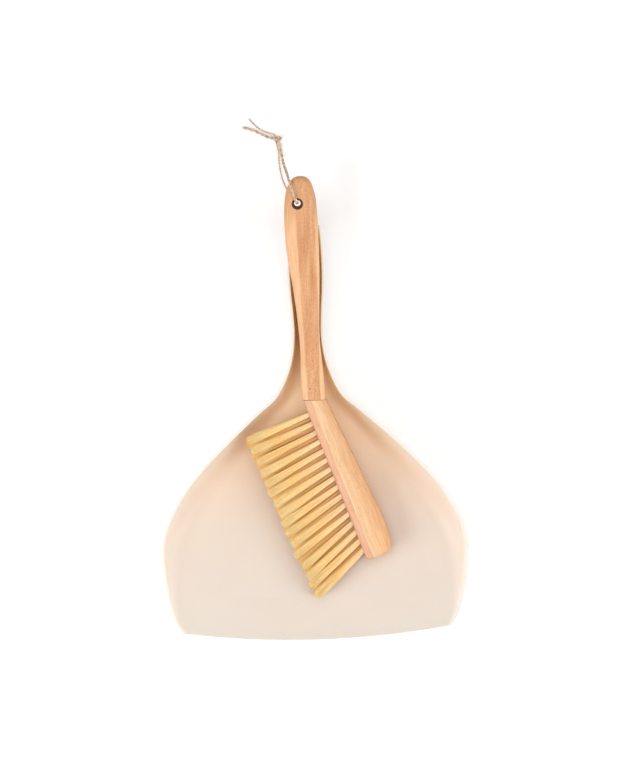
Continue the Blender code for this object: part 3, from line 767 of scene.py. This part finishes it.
def floor_at(y):
    """Height of the inside of the floor on the centre line: level, then a ramp up into the trough."""
    slope = math.tan(BRUSH_SLOPE)
    run = max(0.0, y - FLOOR_END_Y)
    if run < RAMP_BLEND:
        return wall_at(y) + slope * run * run / (2 * RAMP_BLEND)
    return wall_at(y) + slope * (run - RAMP_BLEND / 2)


def inner_half(y, half, flat, rim, power):
    """Right half of the inside of one cross-section, from the centre line to the rim, as (x, z)."""
    floor = floor_at(y)
    points = [(flat * i / FLOOR_STEPS, floor) for i in range(FLOOR_STEPS)]
    for i in range(WALL_STEPS + 1):
        share = 1 - (1 - i / WALL_STEPS) ** 1.6
        points.append((flat + (half - flat) * share, floor + (rim - floor) * share**power))
    return points


def offset_half(points, wall):
    """The outside of a half section, one wall thickness away."""
    outside = []
    for i, (x, z) in enumerate(points):
        before = points[i - 1] if i else (-points[1][0], points[1][1])
        after = points[min(i + 1, len(points) - 1)]
        along = Vector((after[0] - before[0], after[1] - before[1])).normalized()
        outside.append((x + along.y * wall, z - along.x * wall))
    outside[0] = (0.0, points[0][1] - wall)
    return outside


def pan_section(y):
    """Ring of (x, z) round one cross-section: inside left to right, rim, outside right to left, rim."""
    half, flat, rim, power = hermite(PAN_STATIONS, y)
    wall = wall_at(y)
    inner = inner_half(y, half - wall, flat, rim, power)
    for _ in range(2):
        reach = max(x for x, z in offset_half(inner, wall))
        inner = inner_half(y, inner[-1][0] + half - reach, flat, rim, power)
    outer = offset_half(inner, wall)
    along = (Vector(inner[-1]) - Vector(inner[-2])).normalized()
    middle = (Vector(inner[-1]) + Vector(outer[-1])) / 2
    spoke = Vector(inner[-1]) - middle
    crown = []
    for i in range(1, 6):
        angle = math.pi * i / 6
        crown.append(tuple(middle + spoke * math.cos(angle) + along * wall * 0.45 * math.sin(angle)))
    right = inner + crown + outer[::-1]
    left = [(-x, z) for x, z in right]
    count = len(inner)
    ring = left[1:count][::-1] + right + left[count:-1][::-1]
    return ring, count, len(crown)


def pan_rows():
    """Places of the cross-sections along Y, close together round the lip and where the outline turns."""
    rows = [LIP_Y + LIP_ROUND * share for share in (0.0, 0.08, 0.25, 0.55)]
    start = LIP_Y + LIP_ROUND
    end = NECK_Y + PAST_NECK
    for i in range(PAN_ROWS):
        share = i / (PAN_ROWS - 1)
        rows.append(start + (end - start) * (share + 0.045 * math.sin(2 * math.pi * share)))
    return rows


def make_pan(mat):
    """The pan as one moulded shell, with a rounded rim all round."""
    rings = []
    for y in pan_rows():
        ring, count, crown = pan_section(y)
        half = max(x for x, z in ring)
        bulge = LIP_BULGE * (1 - smooth_step((y - LIP_Y) / LIP_BULGE_REACH))
        rings.append([Vector((x, y - bulge * (1 - (x / half) ** 2), z)) for x, z in ring])
    points, faces = skin(rings, False)
    size = len(rings[0])
    inside = 2 * count - 1
    top = inside + (crown - 1) / 2
    half_crown = (crown + 1) / 2
    reach = [min(abs(i - top), abs(i + half_crown), abs(i - size + half_crown)) for i in range(size)]
    # Painted light: how much of the paler wall tone each point of the ring gets.
    rim = [smooth_step(1.0 - (steps - RIM_POINTS) / RIM_FADE) for steps in reach]
    within = [1.0 if i < inside else 0.0 for i in range(size)]
    tones = [(a, b, 0.0, 1.0) for a, b in zip(rim, within)] * len(rings)
    opposite = [inside + crown + (inside - 1 - i) for i in range(inside)]
    for base in (0, (len(rings) - 1) * size):
        for i in range(inside - 1):
            faces.append((base + i, base + opposite[i], base + opposite[i + 1], base + i + 1))
        faces.append(tuple(base + k for k in range(inside - 1, inside + crown + 1)))
        faces.append((base, *[base + k for k in range(size - 1, opposite[0] - 1, -1)]))
    pan = new_piece("dustpan_shell", points, faces, mat, "pan", 50)
    marks = pan.data.attributes.new("shell", "FLOAT_COLOR", "POINT")
    for mark, tone in zip(marks.data, tones):
        mark.color = tone
    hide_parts("dustpan")


# ---------------------------------------------------------------- brush


def chamfer_corner(x, thick, chamfer, rise, side):
    """The chamfered corner of the handle's outline at an edge, from its side up to its face, as (x, z)."""
    return [
        (x, thick - rise),
        (x - side * 0.15 * chamfer, thick - rise * 0.55),
        (x - side * 0.62 * chamfer, thick - rise * 0.20),
        (x - side * chamfer, thick),
    ]


def handle_section(share):
    """Closed outline across the handle as (x, z), pebble-round at the tip, with soft facets further down."""
    left, right, thick, under, top_left, top_right = hermite(HANDLE_STATIONS, share)
    rise = min(CHAMFER_RISE, 0.62 * thick)
    top = chamfer_corner(right, thick, top_right, min(rise, 1.15 * top_right), 1)
    top += chamfer_corner(left, thick, top_left, rise, -1)[::-1]
    below = chamfer_corner(left, thick, under, rise, -1)
    below += chamfer_corner(right, thick, under, rise, 1)[::-1]
    corners = [Vector(p) for p in top] + [Vector((x, -z)) for x, z in below]
    soft = 0.0009 + 0.0040 * (1 - smooth_step((share - 0.10) / 0.28))
    return rounded(corners, [soft] * len(corners), 4)


def make_handle(mat):
    """The handle with a rounded tip and a countersunk hanging hole."""
    rings = []
    for i in range(TIP_RINGS):
        angle = TIP_TURN * (i + 0.6) / (TIP_RINGS + 0.6)
        section = handle_section(TIP_ROUND / HANDLE_LENGTH)
        centre = sum(section, Vector((0, 0))) / len(section)
        y = HANDLE_TIP - TIP_ROUND * (1 - math.cos(angle)) / (1 - math.cos(TIP_TURN))
        grown = math.sin(angle) / math.sin(TIP_TURN)
        rings.append([brush_point(p.x, y, p.y) for p in (centre.lerp(q, grown) for q in section)])
    for i in range(HANDLE_ROWS):
        share = i / (HANDLE_ROWS - 1)
        share = TIP_ROUND / HANDLE_LENGTH + (1 - TIP_ROUND / HANDLE_LENGTH) * share ** (1.6 - 0.6 * share)
        y = HANDLE_TIP - share * HANDLE_LENGTH
        rings.append([brush_point(p.x, y, p.y) for p in handle_section(share)])
    handle = new_piece("handle_wood_body", *skin(rings), mat, "brush", 35)
    reach = HANDLE_HALF_THICK + CUT_PAST
    wide = COUNTERSINK_RADIUS + CUT_PAST
    neck = HANDLE_HALF_THICK - COUNTERSINK_DEPTH
    profile = ((wide, -reach), (HOLE_RADIUS, -neck), (HOLE_RADIUS, neck), (wide, reach))
    rings = []
    for radius, z in profile:
        ring = []
        for k in range(HOLE_SIDES):
            turn = 2 * math.pi * k / HOLE_SIDES
            ring.append(brush_point(HOLE.x + radius * math.cos(turn), HOLE.y + radius * math.sin(turn), z))
        rings.append(ring)
    cut(handle, *skin(rings))
    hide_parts("brush_handle")


def inset_outline(outline, insets):
    """The outline with each corner moved in by its own distance. Its two ends stay on the joint plane."""
    moved = []
    for i, inset in enumerate(insets):
        corner = outline[i]
        first = (corner - outline[i - 1]).normalized()
        second = (outline[(i + 1) % len(outline)] - corner).normalized()
        turn = abs(first.x * second.y - first.y * second.x)
        if i == 0:
            moved.append(corner - first * inset / turn)
        elif i == len(insets) - 1:
            moved.append(corner + second * inset / turn)
        else:
            inward = Vector((-first.y - second.y, first.x + second.x)).normalized()
            moved.append(corner + inward * inset / inward.dot(Vector((-first.y, first.x))))
    return moved


def head_levels():
    """(share of the bevel, height) from the side of the head over its bevel and on to its flat face."""
    start = HEAD_HALF_THICK - HEAD_CHAMFER_RISE
    corners = [
        Vector((0.0, start - 0.0012)),
        Vector((0.0, start)),
        Vector((1.0, HEAD_HALF_THICK)),
        Vector((1.4, HEAD_HALF_THICK)),
    ]
    levels = [corners[0]]
    for i, share in ((1, 0.22), (2, 0.30)):
        a = corners[i].lerp(corners[i - 1], share if i == 2 else 0.8)
        b = corners[i].lerp(corners[i + 1], share if i == 1 else 0.8)
        for k in range(7):
            t = k / 6
            levels.append(a * (1 - t) ** 2 + corners[i] * 2 * t * (1 - t) + b * t * t)
    return levels


def make_head(mat):
    """The head with softened bevels and its drilled tuft holes."""
    outline = [Vector((x, y)) for x, y, _, _ in HEAD_OUTLINE]
    radii = [row[2] for row in HEAD_OUTLINE]
    insets = [row[3] for row in HEAD_OUTLINE]
    levels = head_levels()
    levels = [(share, -z) for share, z in levels[::-1]] + [(share, z) for share, z in levels]
    rings = []
    for share, z in levels:
        loop = rounded(inset_outline(outline, [inset * share for inset in insets]), radii, 8)
        rings.append([brush_point(p.x, p.y, z) for p in loop])
    head = new_piece("head_wood_body", *skin(rings), mat, "brush", 35)
    parts = []
    for _, root, direction in tuft_places():
        ends = (root - direction * TUFT_HOLE_DEPTH, root + direction * CUT_PAST)
        across = Vector((-direction.y, direction.x, 0.0))
        radius = TUFT_ROOT_RADIUS + 0.8 * GAP
        rings = []
        for end in ends:
            ring = []
            for k in range(TUFT_HOLE_SIDES):
                turn = 2 * math.pi * k / TUFT_HOLE_SIDES
                rise = Vector((0, 0, radius * math.sin(turn)))
                ring.append(brush_point(*(end + across * radius * math.cos(turn) + rise)))
            rings.append(ring)
        parts.append(skin(rings))
    cut(head, *join(parts))
    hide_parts("brush_head")


def tuft_places():
    """Every tuft as (name, root on the bristle face, direction), the middle row between the others."""
    top = Vector(HEAD_OUTLINE[0][:2])
    along = (Vector(HEAD_OUTLINE[1][:2]) - top).normalized()
    out = Vector((along.y, -along.x))
    pitch = (TUFT_LAST - TUFT_FIRST) / (TUFTS_LONG_ROW - 1)
    places = []
    for row, level in enumerate((TUFT_ROW_PITCH, 0.0, -TUFT_ROW_PITCH)):
        count = TUFTS_LONG_ROW - (row == 1)
        for i in range(count):
            reach = TUFT_FIRST + pitch * (i + 0.5 * (row == 1))
            share = (reach - TUFT_FIRST) / (TUFT_LAST - TUFT_FIRST)
            angle = TUFT_SPLAY_FIRST + (TUFT_SPLAY_LAST - TUFT_SPLAY_FIRST) * share
            turn = out * math.cos(angle) + along * math.sin(angle)
            root = top + along * reach
            places.append((f"{'abc'[row]}{i + 1:02d}", Vector((*root, level)), Vector((*turn, 0.0))))
    return places


def make_tufts(mat):
    """Each tuft as its own bundle of straws, tight where it leaves the wood and open at its tips."""
    draw = random.Random(11)
    for name, root, direction in tuft_places():
        across = Vector((-direction.y, direction.x, 0.0))
        up = Vector((0.0, 0.0, 1.0))
        lean = draw.uniform(-TUFT_LEAN, TUFT_LEAN)
        swell = draw.uniform(*TUFT_SWELL)
        longest = TUFT_LONGEST - TUFT_SHORTER * draw.random()
        parts = []
        tones = []
        for k in range(FIBRES):
            spread = math.sqrt((k + 0.5) / FIBRES)
            angle = GOLDEN_ANGLE * k + draw.uniform(-0.25, 0.25)
            side = spread * math.cos(angle)
            lift = spread * math.sin(angle)
            length = longest - FIBRE_SHORTER * draw.random() ** 2 - FIBRE_DOME * spread**2
            stray = draw.gauss(0.0, FIBRE_STRAY)
            wave = draw.gauss(0.0, FIBRE_WAVE)
            line = []
            for share in FIBRE_SHARES:
                open_up = max(0.0, share) ** 1.1
                tight = TUFT_ROOT_RADIUS * (1 - open_up) * ROOT_FILL
                x = side * (tight + TUFT_TIP_RADIUS * swell * open_up)
                z = lift * (tight + TUFT_TIP_HALF_THICK * open_up * TIP_FILL)
                x += (lean + stray) * open_up + wave * math.sin(max(0.0, share) * 4.6)
                line.append(brush_point(*(root + direction * length * share + across * x + up * z)))
            radius = FIBRE_RADIUS * draw.uniform(*FIBRE_WIDTHS)
            parts.append(tube(line, [radius * taper for taper in FIBRE_TAPER], FIBRE_SIDES))
            tone = draw.random()
            for share in FIBRE_SHARES:
                tones += [(tone, max(0.0, share), spread)] * FIBRE_SIDES
        tuft = new_piece(f"bristle_tuft_{name}", *join(parts), mat, "brush", 0)
        marks = tuft.data.attributes.new("fibre", "FLOAT_COLOR", "POINT")
        for mark, tone in zip(marks.data, tones):
            mark.color = (*tone, 1.0)
        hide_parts(f"tuft_{name}")


# ---------------------------------------------------------------- twine


def above_floor(points, height):
    return [Vector((p.x, p.y, max(p.z, height))) for p in points]


def plies(line, diameter, pitch, fray=0.0):
    """Two twisted plies along a line; over the last stretch, fray long, they part."""
    frames = frames_along(line)
    total = length_of(line)
    parts = []
    for ply in range(2):
        centres = []
        radii = []
        along = 0.0
        for i, (point, (_, side, up)) in enumerate(zip(line, frames)):
            if i:
                along += (point - line[i - 1]).length
            angle = 2 * math.pi * along / pitch + math.pi * ply
            loose = max(0.0, 1 - (total - along) / fray) if fray else 0.0
            wobble = 1 + PLY_WOBBLE * noise.noise(Vector((along * 900, ply * 7.0, diameter * 1e4)))
            outwards = side * math.cos(angle) + up * math.sin(angle)
            centres.append(point + outwards * diameter * (PLY_OFFSET + PLY_PARTING * loose))
            radii.append(diameter * PLY_RADIUS * wobble * (1 - PLY_THINNING * loose))
        parts.append(tube(above_floor(centres, diameter * PLY_ABOVE_FLOOR), radii, 8))
    return parts


def stray_fibres(line, diameter, count, reach, draw):
    """Short fibres that stand off the twine."""
    frames = frames_along(line)
    parts = []
    for _ in range(count):
        i = draw.randrange(2, len(line) - 2)
        tangent, side, up = frames[i]
        angle = draw.uniform(0, 2 * math.pi)
        out = side * math.cos(angle) + up * math.sin(angle)
        way = tangent * draw.choice((-1, 1)) * draw.uniform(0.6, 1.6) + out * draw.uniform(0.3, 1.0)
        curl = Vector([draw.uniform(-1, 1) for _ in range(3)])
        size = reach * draw.uniform(0.5, 1.0)
        start = line[i] + out * diameter * 0.40
        bent = [start + way * size * t + curl * size * 0.35 * t * t for t in (0.0, 0.35, 0.7, 1.0)]
        parts.append(tube(above_floor(bent, 0.0001), [0.00006, 0.00005, 0.00004, 0.00002], 3))
    return parts


def frayed_end(line, diameter, count, size, draw):
    """Fibres that fan out of the cut end of a tail, back to within its own length."""
    tangent, side, up = frames_along(line)[-1]
    parts = []
    for _ in range(count):
        angle = draw.uniform(0, 2 * math.pi)
        out = side * math.cos(angle) + up * math.sin(angle)
        wide = draw.uniform(0.1, 0.9) * size * 0.35
        start = line[-1] - tangent * size + out * diameter * 0.2
        bent = []
        for t in (0.0, 0.4, 0.7, 1.0):
            forward = tangent * size * t * draw.uniform(0.85, 1.0)
            bent.append(start + forward + out * wide * t * t)
        parts.append(tube(above_floor(bent, 0.00012), [0.00011, 0.00010, 0.00008, 0.00004], 4))
    return parts


def make_twine(mat):
    """The loop as two cords from the hanging hole to their bare tails, and the knot that holds both."""
    over = HANDLE_HALF_THICK + TWINE_THICK / 2 + GAP
    thick = TWINE_THICK / 2
    thin = TWINE_THIN / 2
    front = (
        brush_point(HOLE.x - 0.0004, HOLE.y + 0.0005, 0.0016),
        brush_point(HOLE.x - 0.0005, HOLE.y + 0.0010, 0.0056),
        brush_point(HOLE.x - 0.0013, HOLE.y + 0.0034, over),
        brush_point(HOLE.x - 0.0028, HOLE.y + 0.0080, over + 0.0005),
        brush_point(HOLE.x - 0.0050, HOLE.y + 0.0145, over - 0.0004),
        (-0.0111, 0.1819, 0.0478),
        (-0.0119, 0.1853, 0.0405),
        (-0.0127, 0.1880, 0.0310),
        (-0.0135, 0.1908, 0.0205),
        (-0.0144, 0.1942, 0.0108),
        (-0.0155, 0.1986, 0.0040),
        (-0.0165, 0.2040, 0.0013),
        (-0.0173, 0.2090, 0.0014),
        (-0.0180, 0.2124, 0.0024),
        (-0.0228, 0.2167, 0.0018),
        (-0.0256, 0.2172, thick + 0.0003),
        (-0.0381, 0.2234, thick + 0.0001),
        (-0.0468, 0.2263, thick + 0.0001),
    )
    back = (
        brush_point(HOLE.x + 0.0004, HOLE.y - 0.0004, -0.0010),
        brush_point(HOLE.x + 0.0003, HOLE.y, -0.0060),
        brush_point(HOLE.x - 0.0001, HOLE.y + 0.0006, -0.0105),
        (-0.0062, 0.1662, 0.0235),
        (-0.0077, 0.1682, 0.0155),
        (-0.0095, 0.1706, 0.0082),
        (-0.0115, 0.1735, 0.0030),
        (-0.0137, 0.1772, 0.0008),
        (-0.0158, 0.1822, thin + 0.0001),
        (-0.0174, 0.1885, thin + 0.0001),
        (-0.0184, 0.1960, thin + 0.0001),
        (-0.0189, 0.2050, thin + 0.0002),
        (-0.0196, 0.2104, 0.0011),
        (-0.0200, 0.2122, 0.0016),
        (-0.0213, 0.2190, 0.0020),
        (-0.0250, 0.2206, thin + 0.0004),
        (-0.0335, 0.2246, thin + 0.0001),
        (-0.0420, 0.2330, thin + 0.0001),
    )
    draw = random.Random(7)
    knot = make_knot(mat, draw)
    front_line = curve_points(front, TWINE_THICK / 3)
    parts = plies(front_line, TWINE_THICK, THICK_PITCH, 0.006)
    parts += stray_fibres(front_line, TWINE_THICK, 70, 0.0011, draw)
    parts += frayed_end(front_line, TWINE_THICK, 16, 0.0055, draw)
    thick_cord = new_piece("twine_thick_strand", *join(parts), mat, "brush", 60)
    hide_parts("twine_front", "twine_tail_long")
    back_line = curve_points(back, TWINE_THIN / 3)
    parts = plies(back_line, TWINE_THIN, THIN_PITCH, 0.004)
    parts += stray_fibres(back_line, TWINE_THIN, 60, 0.0010, draw)
    parts += frayed_end(back_line, TWINE_THIN, 9, 0.004, draw)
    thin_cord = new_piece("twine_thin_strand", *join(parts), mat, "brush", 60)
    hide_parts("twine_back", "twine_tail_short")


def make_knot(mat, draw):
    """An overhand knot, pulled tight: a three-lobed closed strand of two plies."""
    line = []
    for i in range(KNOT_STEPS + 1):
        t = 2 * math.pi * i / KNOT_STEPS
        across = (math.sin(t) + 2 * math.sin(2 * t)) / 3
        along = (math.cos(t) - 2 * math.cos(2 * t)) / 3
        up = -math.sin(3 * t)
        half = KNOT_HALF - Vector((1, 1, 1)) * KNOT_STRAND / 2
        line.append(KNOT_AT + Vector((across * half.x, along * half.y, up * half.z)))
    parts = plies(line, KNOT_STRAND, KNOT_PITCH)
    parts += stray_fibres(line, KNOT_STRAND, 24, 0.0008, draw)
    knot = new_piece("twine_overhand_knot", *join(parts), mat, "brush", 60)
    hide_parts("twine_knot")
    return knot


# ---------------------------------------------------------------- stage


def soft_box(name, direction, elevation, away_by, size, power):
    """A soft box at this compass direction and elevation, in degrees, that looks at the object."""
    data = bpy.data.lights.new(name, "AREA")
    data.shape = "RECTANGLE"
    data.size, data.size_y = size
    data.energy = power
    obj = bpy.data.objects.new(name, data)
    bpy.context.scene.collection.objects.link(obj)
    turn = math.radians(direction)
    rise = math.radians(elevation)
    away = Vector((math.cos(turn) * math.cos(rise), math.sin(turn) * math.cos(rise), math.sin(rise)))
    obj.location = LIGHTS_AIM + away * away_by
    obj.rotation_euler = away.to_track_quat("Z", "Y").to_euler()


def make_stage():
    """A pale floor that shines a little, three soft boxes and a soft light from all round."""
    scene = bpy.context.scene
    mat, tree, shader = new_material("floor_white")
    grain = noise_of(tree, coordinates(tree), 30.0, 4.0)
    tree.links.new(ramp(tree, grain, ((0.3, 0.86), (0.7, 0.88))), shader.inputs["Base Color"])
    shader.inputs["Roughness"].default_value = 0.9
    shader.inputs["Emission Color"].default_value = (1.0, 1.0, 1.0, 1.0)
    shader.inputs["Emission Strength"].default_value = FLOOR_GLOW
    corners = [(x * FLOOR_HALF, y * FLOOR_HALF, 0) for x, y in ((-1, -1), (1, -1), (1, 1), (-1, 1))]
    data = bpy.data.meshes.new("studio_floor")
    data.from_pydata(corners, [], [(0, 1, 2, 3)])
    data.materials.append(mat)
    floor = bpy.data.objects.new("studio_floor", data)
    floor.location.z = -FLOOR_DROP
    scene.collection.objects.link(floor)
    for box in SOFT_BOXES:
        soft_box(*box)
    world = bpy.data.worlds.new("studio_air")
    scene.world = world
    world.use_nodes = True
    back = world.node_tree.nodes["Background"]
    back.inputs["Color"].default_value = (1.0, 1.0, 1.0, 1.0)
    back.inputs["Strength"].default_value = AIR_LIGHT
    scene.view_settings.view_transform = "Standard"


def make_camera():
    """Straight above, far off, with the top of the object leaning a little to the left."""
    data = bpy.data.cameras.new("photo_camera")
    camera = bpy.data.objects.new("photo_camera", data)
    bpy.context.scene.collection.objects.link(camera)
    data.sensor_fit = "VERTICAL"
    data.sensor_height = 36.0
    data.lens = data.sensor_height * CAMERA_HEIGHT / VIEW_HEIGHT
    data.clip_end = 50.0
    camera.location = CAMERA_PLACE
    camera.rotation_euler = (0.0, 0.0, -CAMERA_ROLL)
    bpy.context.scene.camera = camera


def main():
    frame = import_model()
    make_camera()
    make_stage()
    make_twine(twine_material())
    make_pan(plastic_material())
    make_handle(handle_material())
    make_head(head_material())
    make_tufts(bristle_material())
    dowel = dowel_material()
    for name in ("joint_dowel_left", "joint_dowel_right"):
        for slot in frame["nodes"][name].material_slots:
            slot.material = dowel


main()
